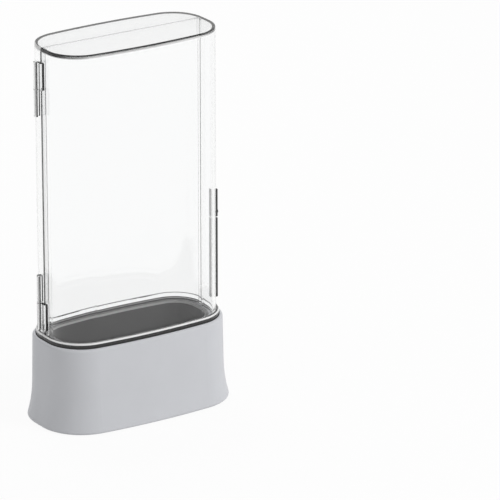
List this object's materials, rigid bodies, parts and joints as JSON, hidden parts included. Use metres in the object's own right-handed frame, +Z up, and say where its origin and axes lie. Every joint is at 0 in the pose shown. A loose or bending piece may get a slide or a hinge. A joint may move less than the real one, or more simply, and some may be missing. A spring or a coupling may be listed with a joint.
{
  "type": "herb keeper",
  "caption": "Upright herb keeper: a clear oval pod with a hinged front door standing on a flared grey water base with a dark liner.",
  "frame": {"origin": "on the table under the middle of the base", "axes": "+X along the long side towards the pull strip, -Y the front with the door, +Z up"},
  "size_m": [0.143, 0.0774, 0.2632],
  "materials": {
    "base_grey": "fine satin",
    "cover_grey": "satin",
    "gasket_black": "soft matt",
    "liner_grey": "satin",
    "clear_plastic": "polished clear",
    "clear_pin": "polished clear",
    "strip_grey": "satin",
    "foot_rubber": "soft matt"
  },
  "bodies": {
    "base": {"base_shell": "base_grey", "bottom_cover": "cover_grey", "seat_gasket": "gasket_black", "foot_pad_front_left": "foot_rubber", "foot_pad_front_right": "foot_rubber", "foot_pad_rear_left": "foot_rubber", "foot_pad_rear_right": "foot_rubber"},
    "liner": {"water_liner": "liner_grey"},
    "pod": {"rear_shell": "clear_plastic", "upper_hinge_pin": "clear_pin", "lower_hinge_pin": "clear_pin"},
    "door": {"front_door": "clear_plastic", "door_pull": "strip_grey", "thumb_tab": "strip_grey"}
  },
  "joints": [
    {"name": "pod_lift", "type": "slide", "parent": "base", "child": "pod", "axis": [0, 0, 1], "range_m": [0, 0.05]},
    {"name": "liner_lift", "type": "slide", "parent": "base", "child": "liner", "axis": [0, 0, 1], "range_m": [0, 0.06]},
    {"name": "door_hinge", "type": "hinge", "parent": "pod", "child": "door", "pos_m": [-0.066, 0.0052, 0.16], "axis": [0, 0, -1], "range_deg": [0, 110]}
  ]
}
